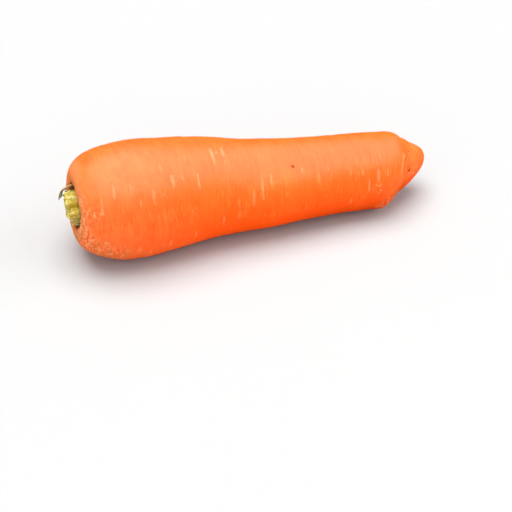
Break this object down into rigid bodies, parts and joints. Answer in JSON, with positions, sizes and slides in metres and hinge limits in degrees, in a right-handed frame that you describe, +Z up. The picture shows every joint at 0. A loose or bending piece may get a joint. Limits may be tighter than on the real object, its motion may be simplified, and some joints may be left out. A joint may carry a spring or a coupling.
{
  "type": "carrot",
  "caption": "Fresh topped carrot lying on its side: thick blunt-tipped root, cut leaf stalk stubs in the crown and a dry curled leaf stalk.",
  "frame": {"origin": "on the surface that the carrot lies on, under the middle of its length and width", "axes": "+X along the root from the crown to the tip, +Z up from the surface, +Y to the left when looking towards the tip"},
  "size_m": [0.178, 0.0522, 0.0531],
  "materials": {
    "carrot_skin": "smooth orange root skin with a soft sheen, fine cross lines and pale slits",
    "cut_leaf_stalk": "matt yellow-green fibrous stalk, pale and brown at the cut ends",
    "dry_leaf_stalk": "matt dried grey-brown fibre"
  },
  "bodies": {
    "root": {"carrot_root": "carrot_skin", "leaf_stalk_stubs": "cut_leaf_stalk", "dry_leaf_stalk": "dry_leaf_stalk"}
  },
  "joints": []
}
